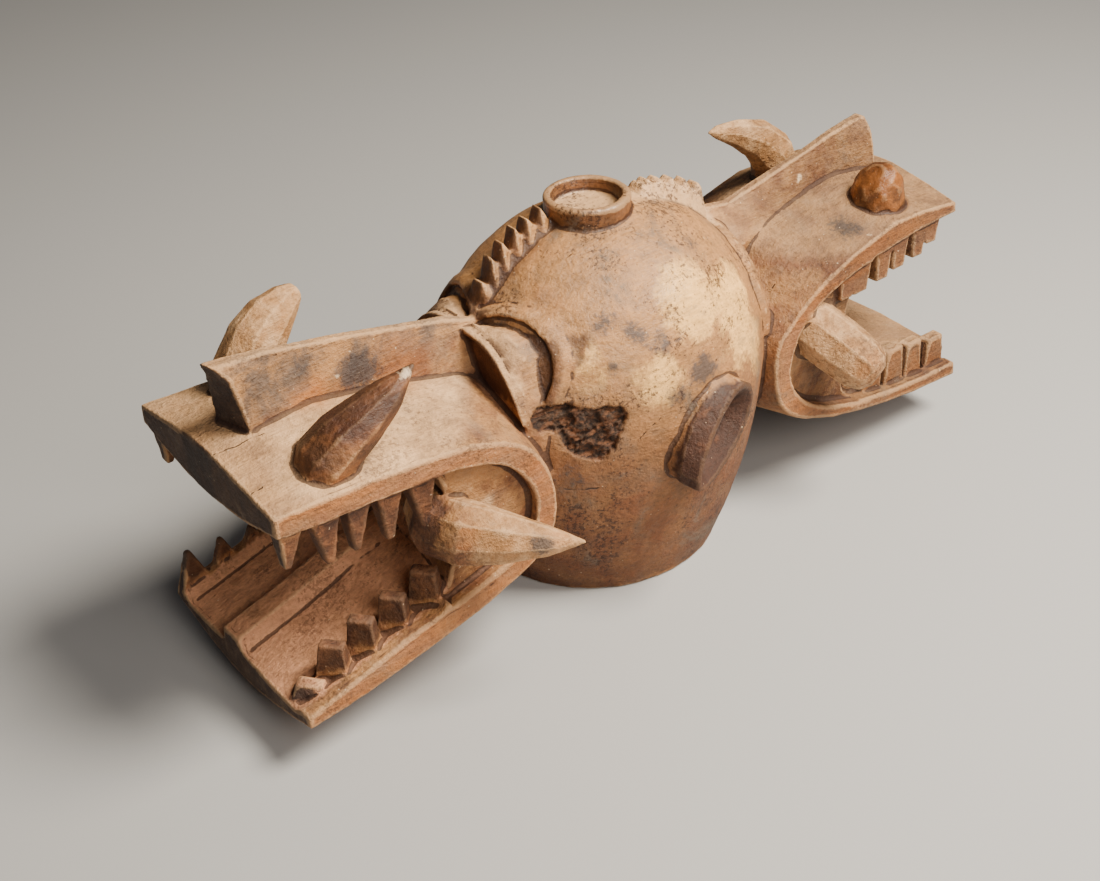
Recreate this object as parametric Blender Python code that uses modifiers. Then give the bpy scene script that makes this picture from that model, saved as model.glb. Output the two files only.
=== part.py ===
# Firespitter helmet mask: a hollow helmet with two long-jawed heads, carved from one block.
# Metres, +Z up. The open foot stands on z = 0 and the helmet's middle is the Z axis.
# The toothed head looks along -X, the second head along +X.

import math

import bmesh
import bpy
from mathutils import Matrix, Vector

# Helmet
helmet_half_length = 0.150
helmet_half_width = 0.1255
girth_height = 0.1575
dome_rise = 0.146
foot_half_length = 0.108
foot_half_width = 0.103
foot_shift = -0.005
helmet_wall = 0.0115
taper_power = 1.9

# Cup on the crown
cup_shift = -0.0085
cup_radius = 0.0350
cup_wall = 0.0065
cup_depth = 0.012
cup_rise = 0.0105
cup_root = 0.030

# Carving that both heads share
pocket_depth = 0.009
cut_margin = 0.012
floor_start = 0.60
floor_blend = 0.25
floor_strip = 0.012
floor_sink = 0.006
rib_rise = 0.004
rib_half_width = 0.0105
rib_shift = 0.013
ridge_crest = 0.004
ridge_sink = 0.015
ridge_falls = (0.0, 0.22, 0.5, 0.75, 1.0)
nose_start = 0.75
nose_blend = 0.15
rib_slope = 0.009
rib_step = 0.003
ridge_root = 0.028
bed_inset = 0.015
bed_fall = 0.004

# Neck behind the lips, each entry a share of the helmet's half length with half sizes
neck_drop = 0.0195
neck_rings = ((0.40, 0.100, 0.060), (0.64, 0.0840, 0.052), (0.80, 0.0800, 0.049),
              (0.93, 0.0770, 0.046))

# Brows and eyelids of the toothed head, as arches around a centre on the dome
brow_across = 0.030
brow_lift = 0.0510
brow_outer = 0.0520
brow_inner = 0.0450
brow_rise = 0.0065
lid_outer = 0.0370
lid_face = 0.1405
lid_first = 0.008
lid_last = 0.078
lid_top = 0.0885
lid_fall = 0.052
lid_bulge = 0.004
lid_depth = 0.050
lid_tuck = 0.002
lid_foot = 0.005
lid_rim = ((-0.004, -0.006), (0.0, -0.0035), (0.0, 0.0), (-0.004, 0.001), (-0.0065, -0.0012),
           (-0.009, 0.0025))
socket_width = 0.0125
socket_depth = 0.013
socket_height = 0.026
socket_back = 0.012
socket_slope = 0.003
socket_reach = 0.92
socket_taper = 0.15
socket_end = 0.08
band_root = 0.022

# Collar that the second head springs from
collar_lift = 0.0145
collar_outer = 0.082
collar_inner = 0.072
collar_rise = 0.0095

# Ears
ear_forward = 0.0125
ear_drop = 0.0135
ear_stand = 0.0145
ear_lean = math.radians(53)
ear_turn = math.radians(15)
ear_half_height = 0.049
ear_half_width = 0.0255
ear_root = 0.030
ear_wall = 0.005
ear_hollow = 0.0165
ear_swell = 0.22
ear_foot_shift = -0.004
ear_foot = ((1.20, 1.0), (1.10, 0.90))
ear_mouth_flare = (1.15, 1.10)
ear_floor = (0.55, 0.62)

# Combs: places are shares of the dome's half length, rises stand over the dome
comb_root = 0.009
comb_foot = 0.002
comb_notch = 0.62
near_comb = {
    "shift": 0.008, "half_width": 0.0115, "crest": 0.0055, "valley": 0.30,
    "ends": (-0.775, -0.290), "end_rise": 0.003,
    "tips": [(-0.750, 0.018), (-0.676, 0.024), (-0.603, 0.0245), (-0.517, 0.0235),
             (-0.439, 0.0215), (-0.348, 0.0195)]}
far_comb = {
    "shift": 0.0, "half_width": 0.015, "crest": 0.006, "valley": 0.66,
    "ends": (0.270, 0.737), "end_rise": 0.0268,
    "tips": [(0.300, 0.010), (0.340, 0.0130), (0.419, 0.0155), (0.515, 0.0190),
             (0.617, 0.0230), (0.707, 0.0275)]}

# Where the lower jaw starts to widen, as a share of a head's height
lips_split = 0.66
jaw_widening = 0.26

# Facets
helmet_sides = 36
cavity_sides = 30
cup_sides = 24
limb_sides = 8
ear_sides = 14
curl_share = 0.30

# The heads. Along a head, 0 is the back of its lips and 1 the tip of its upper jaw, and
# rises are shares of its height. An outline entry gives the flank's edge, then the middle
# line. A ridge entry gives the crest and its rise, the foot, its half width and its flare.
toothed_head = {
    "name": "toothed", "direction": -1, "lip_inset": 0.0243, "jaw_length": 0.2353,
    "height_over_girth": 0.0665, "half_width": 0.0958, "jaw_half_width": 0.1005,
    "flank_drop": 0.0,
    "outline": [
        (1.000, 1.000, 1.000, 1.056), (0.826, 0.990, 0.826, 1.090), (0.647, 0.980, 0.647, 1.094),
        (0.486, 0.960, 0.486, 1.062), (0.316, 0.937, 0.316, 1.028), (0.188, 0.891, 0.188, 0.995),
        (0.086, 0.815, 0.086, 0.965), (0.025, 0.714, -0.020, 0.860), (0.000, 0.603, -0.100, 0.670),
        (0.012, 0.482, -0.100, 0.480), (0.069, 0.400, 0.000, 0.330), (0.167, 0.342, 0.140, 0.262),
        (0.337, 0.286, 0.337, 0.208), (0.550, 0.238, 0.550, 0.150), (0.775, 0.193, 0.775, 0.098),
        (1.000, 0.172, 1.000, 0.071)],
    "mouth": [
        (1.040, 0.938, 1.040, 0.863), (0.860, 0.918, 0.860, 0.855), (0.685, 0.909, 0.685, 0.844),
        (0.507, 0.891, 0.480, 0.815), (0.430, 0.860, 0.360, 0.740), (0.400, 0.620, 0.300, 0.600),
        (0.430, 0.385, 0.380, 0.430), (0.550, 0.333, 0.550, 0.385), (0.626, 0.317, 0.626, 0.355),
        (0.809, 0.267, 0.809, 0.290), (1.040, 0.203, 1.040, 0.222)],
    "pocket": [
        (0.473, 0.885), (0.371, 0.873), (0.260, 0.838), (0.179, 0.790), (0.120, 0.716),
        (0.084, 0.641), (0.078, 0.571), (0.100, 0.485), (0.155, 0.437), (0.210, 0.417),
        (0.299, 0.389), (0.444, 0.354)],
    "nose_crest": 0.0063, "nose_skew": 1.1,
    "ridge": [
        (0.940, 1.312, 0.885, 0.0176, 0.40), (0.850, 1.304, 0.825, 0.0165, 0.70),
        (0.750, 1.292, 0.750, 0.0145, 1.0), (0.626, 1.263, 0.626, 0.0120, 1.0),
        (0.452, 1.228, 0.452, 0.0130, 1.0), (0.273, 1.184, 0.273, 0.0160, 1.0),
        (0.120, 1.149, 0.120, 0.0180, 1.1), (0.009, 1.106, 0.009, 0.0200, 1.2),
        (-0.100, 1.080, -0.100, 0.0220, 1.2)],
    "horns": {
        -1: (1.20, [(0.782, 0.064, 0.980, 0.0178), (0.752, 0.066, 1.028, 0.0208),
                    (0.690, 0.069, 1.084, 0.0200), (0.613, 0.072, 1.135, 0.0168),
                    (0.525, 0.074, 1.191, 0.0114), (0.436, 0.076, 1.259, 0.0012)]),
        1: (0.95, [(0.745, 0.055, 0.980, 0.0240), (0.700, 0.058, 1.090, 0.0245),
                   (0.638, 0.062, 1.168, 0.0230), (0.570, 0.065, 1.218, 0.0195),
                   (0.505, 0.068, 1.250, 0.0135), (0.462, 0.070, 1.262, 0.0075)])},
    "tusk": (0.85, [(0.380, 0.055, 0.650, 0.0230), (0.425, 0.080, 0.648, 0.0270),
                    (0.385, 0.101, 0.645, 0.0275), (0.290, 0.122, 0.625, 0.0215),
                    (0.180, 0.141, 0.602, 0.0125), (0.080, 0.156, 0.584, 0.0012)]),
    "upper_teeth": {
        "inset": 0.0108, "thickness": 0.017, "tip": 0.26, "sink": 0.006, "turn": 0,
        "places": [(0.943, 0.021, 0.912, 0.962, 0.782), (0.832, 0.025, 0.906, 0.822, 0.726),
                   (0.715, 0.022, 0.900, 0.730, 0.728), (0.607, 0.023, 0.890, 0.613, 0.712),
                   (0.494, 0.024, 0.868, 0.482, 0.688)]},
    "lower_teeth": {
        "inset": 0.0250, "thickness": 0.0280, "tip": 0.50, "sink": 0.006, "turn": 39,
        "places": [(0.925, 0.020, 0.212, 0.925, 0.258), (0.835, 0.020, 0.220, 0.832, 0.366),
                   (0.718, 0.021, 0.237, 0.721, 0.410), (0.596, 0.021, 0.272, 0.600, 0.438),
                   (0.472, 0.021, 0.330, 0.475, 0.480)]},
    "back_lower_teeth": {
        "inset": 0.0058, "thickness": 0.013, "tip": 0.12, "sink": 0.006, "turn": 0,
        "places": [(0.936, 0.032, 0.215, 0.947, 0.364), (0.815, 0.030, 0.225, 0.824, 0.357),
                   (0.700, 0.030, 0.240, 0.707, 0.350), (0.585, 0.030, 0.265, 0.590, 0.375),
                   (0.470, 0.030, 0.310, 0.475, 0.410)]},
}

plain_head = {
    "name": "plain", "direction": 1, "lip_inset": 0.0352, "jaw_length": 0.2222,
    "height_over_girth": 0.0725, "half_width": 0.0950, "jaw_half_width": 0.1000,
    "flank_drop": 0.014,
    "outline": [
        (1.000, 0.983, 1.000, 1.058), (0.802, 1.006, 0.802, 1.080), (0.640, 1.012, 0.640, 1.085),
        (0.523, 0.984, 0.523, 1.070), (0.406, 0.954, 0.406, 1.050), (0.266, 0.904, 0.266, 1.033),
        (0.158, 0.843, 0.158, 1.009), (0.078, 0.780, 0.023, 0.870), (0.022, 0.726, -0.070, 0.780),
        (0.000, 0.643, -0.090, 0.652), (0.002, 0.560, -0.090, 0.520), (0.023, 0.470, -0.070, 0.410),
        (0.077, 0.409, 0.046, 0.335), (0.163, 0.351, 0.158, 0.268), (0.338, 0.286, 0.338, 0.193),
        (0.599, 0.232, 0.599, 0.140), (0.833, 0.198, 0.833, 0.108), (1.106, 0.177, 1.106, 0.094)],
    "mouth": [
        (1.150, 0.952, 1.150, 0.900), (0.888, 0.944, 0.888, 0.892), (0.797, 0.940, 0.797, 0.888),
        (0.590, 0.917, 0.560, 0.850), (0.500, 0.885, 0.420, 0.780), (0.440, 0.640, 0.340, 0.600),
        (0.450, 0.350, 0.400, 0.400), (0.498, 0.288, 0.550, 0.330), (0.698, 0.262, 0.698, 0.275),
        (0.901, 0.243, 0.901, 0.255), (1.150, 0.236, 1.150, 0.245)],
    "pocket": [
        (0.520, 0.889), (0.474, 0.890), (0.359, 0.864), (0.271, 0.835), (0.180, 0.780),
        (0.110, 0.700), (0.082, 0.613), (0.085, 0.542), (0.136, 0.457), (0.226, 0.387),
        (0.320, 0.343), (0.498, 0.288)],
    "nose_crest": 0.0055, "nose_skew": 0.0,
    "ridge": [
        (0.885, 1.252, 0.885, 0.0230, 0.42), (0.800, 1.245, 0.800, 0.0185, 0.75),
        (0.700, 1.228, 0.700, 0.0130, 1.0), (0.568, 1.199, 0.568, 0.0130, 1.0),
        (0.323, 1.150, 0.323, 0.0180, 1.0), (0.136, 1.113, 0.136, 0.0270, 1.0),
        (-0.010, 1.137, -0.010, 0.0340, 1.1), (-0.100, 1.140, -0.100, 0.0360, 1.2)],
    "horns": {
        -1: (1.0, [(0.700, 0.060, 0.985, 0.0245), (0.697, 0.061, 1.050, 0.0242),
                   (0.688, 0.062, 1.107, 0.0228), (0.672, 0.062, 1.144, 0.0180),
                   (0.660, 0.062, 1.160, 0.0090)]),
        1: (0.80, [(0.650, 0.050, 1.020, 0.0250), (0.612, 0.050, 1.128, 0.0232),
                   (0.520, 0.050, 1.212, 0.0185), (0.405, 0.050, 1.267, 0.0126),
                   (0.300, 0.050, 1.300, 0.0063), (0.253, 0.050, 1.309, 0.0014)])},
    "tusk": (1.0, [(0.200, 0.055, 0.715, 0.0220), (0.240, 0.080, 0.706, 0.0255),
                   (0.280, 0.105, 0.648, 0.0258), (0.318, 0.127, 0.592, 0.0245),
                   (0.335, 0.138, 0.566, 0.0195), (0.343, 0.143, 0.555, 0.0105)]),
    "upper_teeth": {
        "inset": 0.0110, "thickness": 0.017, "tip": 0.72, "sink": 0.007, "turn": 0,
        "places": [(0.888, 0.018, 0.920, 0.888, 0.842), (0.811, 0.019, 0.920, 0.811, 0.806),
                   (0.700, 0.021, 0.915, 0.700, 0.793), (0.605, 0.021, 0.905, 0.605, 0.777),
                   (0.482, 0.023, 0.885, 0.482, 0.764), (0.400, 0.020, 0.885, 0.400, 0.768)]},
    "lower_teeth": {
        "inset": 0.0180, "thickness": 0.014, "tip": 0.80, "sink": 0.0115, "turn": 0,
        "places": [(1.018, 0.026, 0.245, 1.018, 0.362), (0.880, 0.024, 0.248, 0.880, 0.395),
                   (0.757, 0.027, 0.255, 0.757, 0.410), (0.620, 0.026, 0.265, 0.620, 0.420)]},
    "bed": [(1.010, 0.200, 0.362), (0.850, 0.205, 0.405), (0.600, 0.212, 0.430),
            (0.350, 0.228, 0.460)],
}

wood_colour = (0.36, 0.20, 0.10, 1.0)
wood_roughness = 0.62


# Helpers

def clear_scene():
    for thing in list(bpy.data.objects):
        bpy.data.objects.remove(thing, do_unlink=True)


def new_collection(name):
    collection = bpy.data.collections.new(name)
    bpy.context.scene.collection.children.link(collection)
    return collection


def place(mesh, name, collection):
    thing = bpy.data.objects.new(name, mesh)
    collection.objects.link(thing)
    if collection is not mask_collection:
        thing.hide_render = True
        thing.display_type = "WIRE"
    return thing


def finish(shape, name, collection):
    bmesh.ops.remove_doubles(shape, verts=shape.verts, dist=0.00002)
    bmesh.ops.triangulate(shape, faces=shape.faces)
    bmesh.ops.recalc_face_normals(shape, faces=shape.faces)
    mesh = bpy.data.meshes.new(name)
    shape.to_mesh(mesh)
    shape.free()
    return place(mesh, name, collection)


def loft(rings, name, collection):
    # Join rings of equal length into one closed body.
    shape = bmesh.new()
    loops = [[shape.verts.new(point) for point in ring] for ring in rings]
    count = len(rings[0])
    for lower, upper in zip(loops, loops[1:]):
        for i in range(count):
            j = (i + 1) % count
            shape.faces.new((lower[i], lower[j], upper[j], upper[i]))
    shape.faces.new(loops[0])
    shape.faces.new(loops[-1])
    return finish(shape, name, collection)


def smooth(points, curl):
    # Read a smooth curve through the points, twice as fine where it curls round the lips.
    result = []
    last = len(points) - 1
    for i in range(last):
        before, start = points[max(i - 1, 0)], points[i]
        end, after = points[i + 1], points[min(i + 2, last)]
        steps = 2 if max(start[0], end[0]) < curl else 1
        for step in range(steps):
            t = step / steps
            result.append(tuple(
                0.5 * (2 * b + (c - a) * t + (2 * a - 5 * b + 4 * c - d) * t ** 2
                       + (3 * b - a - 3 * c + d) * t ** 3)
                for a, b, c, d in zip(before, start, end, after)))
    result.append(tuple(points[last]))
    return result


def mix(a, b, t):
    return a + (b - a) * t


def clamp(value):
    return min(max(value, 0.0), 1.0)


def ellipse(across, half_across, height, half_height, count):
    # Points of an upright ellipse, as (across, height).
    return [(across + half_across * math.cos(2 * math.pi * i / count),
             height + half_height * math.sin(2 * math.pi * i / count)) for i in range(count)]


# Helmet

def girth(height, inset):
    # Half length, half width and shift along X of the helmet at a height.
    if height >= girth_height:
        share = clamp((height - girth_height) / (dome_rise - inset))
        spread = math.sqrt(1 - share ** 2)
        return ((helmet_half_length - inset) * spread, (helmet_half_width - inset) * spread, 0.0)
    share = 1 - (1 - max(height, 0.0) / girth_height) ** taper_power
    return (mix(foot_half_length, helmet_half_length, share) - inset,
            mix(foot_half_width, helmet_half_width, share) - inset,
            foot_shift * (1 - share))


def dome_reach(y, z):
    # How far the dome stands from the middle along X, at a width and a height.
    rise = max(z - girth_height, 0.0) / dome_rise
    return helmet_half_length * math.sqrt(max(1 - (y / helmet_half_width) ** 2 - rise ** 2, 0.02))


def dome_height(x):
    return girth_height + dome_rise * math.sqrt(1 - (x / helmet_half_length) ** 2)


def helmet_body(name, inset, sides, lower_shares, dome_angles, collection):
    heights = [girth_height * share for share in lower_shares]
    heights += [girth_height + (dome_rise - inset) * math.sin(math.radians(angle))
                for angle in dome_angles]
    rings = []
    for height in heights:
        half_length, half_width, shift = girth(height, inset)
        outline = ellipse(shift, half_length, 0.0, half_width, sides)
        rings.append([(x, y, height) for x, y in outline])
    return loft(rings, name, collection)


def turned(name, profile, collection):
    # A profile of (radius, height) from top to bottom, turned about the cup's axis.
    mesh = bpy.data.meshes.new(name)
    mesh.from_pydata([(radius, 0, height) for radius, height in profile],
                     [(i, i + 1) for i in range(len(profile) - 1)], [])
    thing = place(mesh, name, collection)
    screw = thing.modifiers.new("turn", "SCREW")
    screw.steps = screw.render_steps = cup_sides
    screw.use_merge_vertices = True
    screw.merge_threshold = 0.00001
    thing.location.x = cup_shift


def build_cup():
    top = girth_height + dome_rise + cup_rise
    root = top - cup_root
    bevel = cup_wall * 0.3
    turned("cup", [(0, top), (cup_radius - bevel, top), (cup_radius, top - bevel),
                   (cup_radius - bevel, root), (0, root)], detail_collection)
    inner = cup_radius - cup_wall
    floor = top - cup_depth
    turned("cup_hollow", [(0, top + cut_margin), (inner, top + cut_margin), (inner, top),
                          (inner - bevel, floor), (0, floor - bevel)], hollow_collection)


def arch(name, direction, across, height, outer, inner, rise, angles):
    # A raised band that follows the dome around a centre on it.
    side = math.copysign(1, across)
    section = ((outer, -band_root), (outer, rise * 0.7), (mix(inner, outer, 0.7), rise),
               (mix(inner, outer, 0.3), rise), (inner, rise * 0.7), (inner, -band_root))
    rings = []
    for angle in angles:
        turn = math.radians(angle)
        ring = []
        for radius, proud in section:
            y = across + side * radius * math.cos(turn)
            z = height + radius * math.sin(turn)
            ring.append((direction * (dome_reach(y, z) + proud), y, z))
        rings.append(ring)
    return loft(rings, name, detail_collection)


def lid_line(share):
    # Width, rim height, back height and reach of the back of the eyelid along its rim.
    y = mix(lid_first, lid_last, share)
    rim = girth_height + lid_top - lid_fall * share ** 2.6
    arc = math.sqrt(max(lid_outer ** 2 - (y - brow_across) ** 2, 0.0))
    back_height = max(girth_height + brow_lift + arc, rim - lid_bulge)
    if arc == 0.0:
        back_height = rim - lid_bulge
    return y, rim, back_height, dome_reach(y, back_height) - lid_tuck


def build_eyelid(side):
    # A lid with a thin rim along its front, over a flat upright face.
    rings = []
    for step in range(8):
        y, rim, back_height, back = lid_line(step / 7)
        swell = lid_bulge * math.sin(math.pi * step / 7)
        ring = [(back - lid_depth, rim - lid_depth), (lid_face - lid_foot, rim - lid_depth)]
        ring += [(lid_face + reach, rim + rise) for reach, rise in lid_rim]
        ring += [(mix(back, lid_face, 0.4), mix(back_height, rim, 0.4) + swell),
                 (back, back_height), (back - lid_depth, back_height - lid_depth / 4)]
        rings.append([(toothed_head["direction"] * x, side * y, z) for x, z in ring])
    return loft(rings, f"eyelid_{side:+d}", detail_collection)


def cut_eye_socket(side):
    # The dark crescent under the lid, sunk into the upper jaw in front of the face.
    rings = []
    for step in range(7):
        share = step / 6
        y, rim, back_height, back = lid_line(share * socket_reach)
        opening = 1 - share ** 1.6
        ledge = rim - socket_height * (1 - socket_taper * share)
        floor = ledge - socket_depth * mix(socket_end, 1.0, opening)
        ring = [(lid_face - socket_back, rim), (lid_face + socket_width * opening, rim),
                (lid_face + socket_width * opening, ledge),
                (lid_face - socket_slope, floor), (lid_face - socket_back, floor)]
        rings.append([(toothed_head["direction"] * x, side * y, z) for x, z in ring])
    return loft(rings, f"eye_socket_{side:+d}", mouth_collection)


def leaf(half_width, half_height, depth, shift):
    # A leaf outline with its point downward, at a depth behind the ear's mouth.
    ring = []
    for i in range(ear_sides):
        turn = 2 * math.pi * (i + 0.5) / ear_sides
        ring.append(Vector((half_width * math.cos(turn) * (1 + ear_swell * math.sin(turn)) + shift,
                            depth, half_height * math.sin(turn))))
    return ring


def build_ear(side):
    # A leaf-shaped scoop whose mouth looks outward and a little toward the second head.
    centre = Vector((ear_forward, side * (helmet_half_width + ear_stand), girth_height - ear_drop))
    frame = (Matrix.Translation(centre) @ Matrix.Rotation(-side * ear_turn, 4, "Z")
             @ Matrix.Rotation(ear_lean, 4, "Y"))
    inner_width, inner_height = ear_half_width - ear_wall, ear_half_height - ear_wall
    outer = [(ear_half_width, ear_half_height, 0.0, 0.0)]
    for i, (wide, high) in enumerate(ear_foot):
        outer.append((ear_half_width * wide, ear_half_height * high, ear_root * (i + 1) / 2,
                      ear_foot_shift))
    inner = [(inner_width * wide, inner_height * high, ear_hollow * depth, 0.0)
             for (wide, high), depth in ((ear_mouth_flare, -1), ((1, 1), 0), (ear_floor, 1))]
    bodies = {"ear": (detail_collection, outer), "ear_hollow": (hollow_collection, inner)}
    for name, (collection, sections) in bodies.items():
        rings = [[frame @ Vector((point.x, -side * point.y, point.z)) for point in leaf(*section)]
                 for section in sections]
        loft(rings, f"{name}_{side:+d}", collection)


def build_comb(name, comb):
    # A crest over the dome, cut into teeth by notches across it.
    first, last = comb["ends"]
    line = [(first, comb_foot)]
    for i, (share, rise) in enumerate(comb["tips"]):
        line.append((share, rise))
        if i + 1 < len(comb["tips"]):
            line.append((mix(share, comb["tips"][i + 1][0], comb_notch), rise * comb["valley"]))
    line.append((last, comb["end_rise"]))
    rings = []
    for across, crest in ((-comb["half_width"], 0.0), (-comb["crest"], 1.0),
                          (comb["crest"], 1.0), (comb["half_width"], 0.0)):
        y = comb["shift"] + across
        top, root = [], []
        for share, rise in line:
            x = share * helmet_half_length
            top.append((x, y, dome_height(x) + rise * crest - comb_foot * (1 - crest)))
            root.insert(0, (x, y, dome_height(x) - comb_root))
        rings.append(top + root)
    return loft(rings, name, detail_collection)


# Heads

def head_height(head):
    return girth_height + head["height_over_girth"]


def at(head, share, y, rise):
    # A point of a head. The plain head's upper jaw droops on its +Y flank.
    reach = helmet_half_length - head["lip_inset"] + share * head["jaw_length"]
    droop = clamp(y / head["half_width"]) ** 1.4 * clamp((rise - 0.6) / 0.25)
    droop *= clamp(share / 0.15) * clamp((1.4 - share) / 0.6)
    return Vector((head["direction"] * reach, y,
                   rise * head_height(head) - droop * head["flank_drop"]))


def cut_block(head):
    points = smooth(head["outline"], curl_share)
    rings = []
    for across in (-1, -0.8, -0.5, -0.2, 0.2, 0.5, 0.8, 1):
        to_flank = abs(across) ** 1.3
        ring = []
        for side_share, side_rise, mid_share, mid_rise in points:
            width = mix(head["half_width"], head["jaw_half_width"],
                        clamp((lips_split - side_rise) / jaw_widening))
            ring.append(at(head, mix(mid_share, side_share, to_flank), across * width,
                           mix(mid_rise, side_rise, to_flank)))
        rings.append(ring)
    return loft(rings, head["name"] + "_block", block_collection)


def cut_neck(head):
    # The wood behind the lips, which stands back from them on both flanks.
    rings = []
    for share, half_width, half_height in neck_rings:
        outline = ellipse(0.0, half_width, girth_height - neck_drop, half_height, limb_sides * 2)
        rings.append([(head["direction"] * share * helmet_half_length, y, z)
                      for y, z in outline])
    return loft(rings, head["name"] + "_neck", block_collection)


def cut_mouth(head):
    # The gap between the jaws, with the rib along the floor left standing.
    points = smooth(head["mouth"], curl_share * 2)
    flank = head["jaw_half_width"]
    strip = flank - floor_strip
    rib_near, rib_far = rib_shift - rib_half_width, rib_shift + rib_half_width
    stations = ((-flank - cut_margin, 0.0), (-strip, 0.0), (-strip * 0.9, -floor_sink),
                (-strip * 0.5, -floor_sink * 1.3), (rib_near - rib_slope, -floor_sink),
                (rib_near, rib_rise), (rib_far, rib_rise), (rib_far + rib_step, -floor_sink * 1.5),
                (strip * 0.6, -floor_sink * 1.5), (strip * 0.9, -floor_sink * 1.2),
                (strip, 0.0), (flank + cut_margin, 0.0))
    rings = []
    for y, lift in stations:
        to_flank = clamp(abs(y) / head["half_width"]) ** 2
        ring = []
        for i, (side_share, side_rise, mid_share, mid_rise) in enumerate(points):
            point = at(head, mix(mid_share, side_share, to_flank), y,
                       mix(mid_rise, side_rise, to_flank))
            on_floor = clamp((i / (len(points) - 1) - floor_start) / floor_blend)
            ring.append(point + Vector((0, 0, lift * on_floor)))
        rings.append(ring)
    return loft(rings, head["name"] + "_mouth", mouth_collection)


def cut_pocket(head, side):
    # The shallow cheek recess that leaves the lips standing as a band.
    points = smooth(head["pocket"], curl_share)
    rings = [[at(head, share, side * y, rise) for share, rise in points]
             for y in (head["half_width"] - pocket_depth, head["jaw_half_width"] + cut_margin)]
    return loft(rings, f"{head['name']}_pocket_{side:+d}", mouth_collection)


def crown_rise(head, share):
    # Rise of the upper jaw's middle line at a share of its length.
    line = sorted((entry[2], entry[3]) for entry in head["outline"] if entry[3] > 0.9)
    for (near, near_rise), (far, far_rise) in zip(line, line[1:]):
        if near <= share <= far:
            return mix(near_rise, far_rise, (share - near) / (far - near))
    return line[0][1] if share < line[0][0] else line[-1][1]


def build_ridge(head):
    # A narrow crest from the dome to the nose, where its sides flare out.
    rings = []
    for share, top, foot_share, half_width, flare in head["ridge"]:
        foot = crown_rise(head, foot_share) - ridge_sink
        nose = clamp((share - nose_start) / nose_blend)
        crest = mix(ridge_crest, head["nose_crest"], nose)
        skew = head["nose_skew"] * nose
        flank = [(mix(share, foot_share, fall ** flare),
                  mix(crest, half_width, fall ** flare),
                  mix(top, foot, fall)) for fall in ridge_falls]
        flank.append((foot_share, half_width, foot - ridge_root / head_height(head)))
        rings.append([at(head, s - skew * y, -y, rise) for s, y, rise in reversed(flank)]
                     + [at(head, s + skew * y, y, rise) for s, y, rise in flank])
    return loft(rings, head["name"] + "_ridge", detail_collection)


def build_limb(name, stations, squash):
    # A horn or tusk: rings across a spine of (place, radius) stations.
    rings = []
    for i, (centre, radius) in enumerate(stations):
        ahead = stations[min(i + 1, len(stations) - 1)][0]
        behind = stations[max(i - 1, 0)][0]
        along = (ahead - behind).normalized()
        across = Vector((0, 0, 1)).cross(along).normalized()
        upward = along.cross(across)
        rings.append([centre + a * across + b * upward for a, b in
                      ellipse(0.0, radius * squash, 0.0, radius, limb_sides)])
    return loft(rings, name, detail_collection)


def build_horns_and_tusks(head):
    for side in (-1, 1):
        for name, (squash, spine) in (("horn", head["horns"][side]), ("tusk", head["tusk"])):
            stations = [(at(head, share, side * y, rise), radius)
                        for share, y, rise, radius in spine]
            build_limb(f"{head['name']}_{name}_{side:+d}", stations, squash)


def build_teeth(head, key, side):
    # Four-sided pegs, each rooted a little inside the jaw.
    row = head[key]
    upper = key == "upper_teeth"
    across = head["half_width" if upper else "jaw_half_width"] - row["inset"]
    root_lift = Vector((0, 0, row["sink"] if upper else -row["sink"]))
    turn = Matrix.Rotation(math.radians(-side * row["turn"]), 3, "Z")
    for i, (share, length, root_rise, tip_share, tip_rise) in enumerate(row["places"]):
        root = at(head, share, side * across, root_rise) + root_lift
        tip = at(head, tip_share, side * across, tip_rise)
        rings = []
        for centre, size in ((root, 1.0), (tip, row["tip"])):
            half_length = length / 2 * size
            half_thickness = row["thickness"] / 2 * mix(1.0, size, 0.6)
            rings.append([centre + turn @ Vector((x * half_length, y * half_thickness, 0))
                          for x, y in ((-1, -1), (1, -1), (1, 1), (-1, 1))])
        loft(rings, f"{head['name']}_{key}_{side:+d}_{i}", detail_collection)


def build_bed(head):
    # The raised floor of the plain head's lower jaw, which its pegs stand against.
    half_width = head["half_width"] - bed_inset
    fall = bed_fall / head_height(head)
    rings = [[at(head, share, y, rise) for y, rise in
              ((-half_width, low), (half_width, low), (half_width, top - fall),
               (half_width * 0.3, top), (-half_width * 0.3, top), (-half_width, top - fall))]
             for share, low, top in head["bed"]]
    return loft(rings, head["name"] + "_bed", detail_collection)


def build_head(head):
    cut_block(head)
    cut_neck(head)
    cut_mouth(head)
    build_ridge(head)
    build_horns_and_tusks(head)
    for side in (-1, 1):
        cut_pocket(head, side)
        build_teeth(head, "upper_teeth", side)
        own_back_row = side > 0 and "back_lower_teeth" in head
        build_teeth(head, "back_lower_teeth" if own_back_row else "lower_teeth", side)
    if "bed" in head:
        build_bed(head)


def build_helmet_details():
    for side in (-1, 1):
        arch(f"brow_{side:+d}", -1, side * brow_across, girth_height + brow_lift, brow_outer,
             brow_inner, brow_rise, range(-22, 133, 14))
        build_eyelid(side)
        cut_eye_socket(side)
        build_ear(side)
    arch("collar", 1, 0.0, girth_height + collar_lift, collar_outer, collar_inner, collar_rise,
         range(0, 181, 15))
    build_comb("near_comb", near_comb)
    build_comb("far_comb", far_comb)
    build_cup()
    helmet_body("helmet_cavity", helmet_wall, cavity_sides, (-0.13, 0.0, 0.25, 0.58),
                (0, 20, 40, 57, 72, 87), hollow_collection)


def make_wood():
    wood = bpy.data.materials.new("old_wood")
    wood.use_nodes = True
    shader = wood.node_tree.nodes["Principled BSDF"]
    shader.inputs["Base Color"].default_value = wood_colour
    shader.inputs["Roughness"].default_value = wood_roughness
    shader.inputs["Metallic"].default_value = 0.0
    return wood


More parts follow.
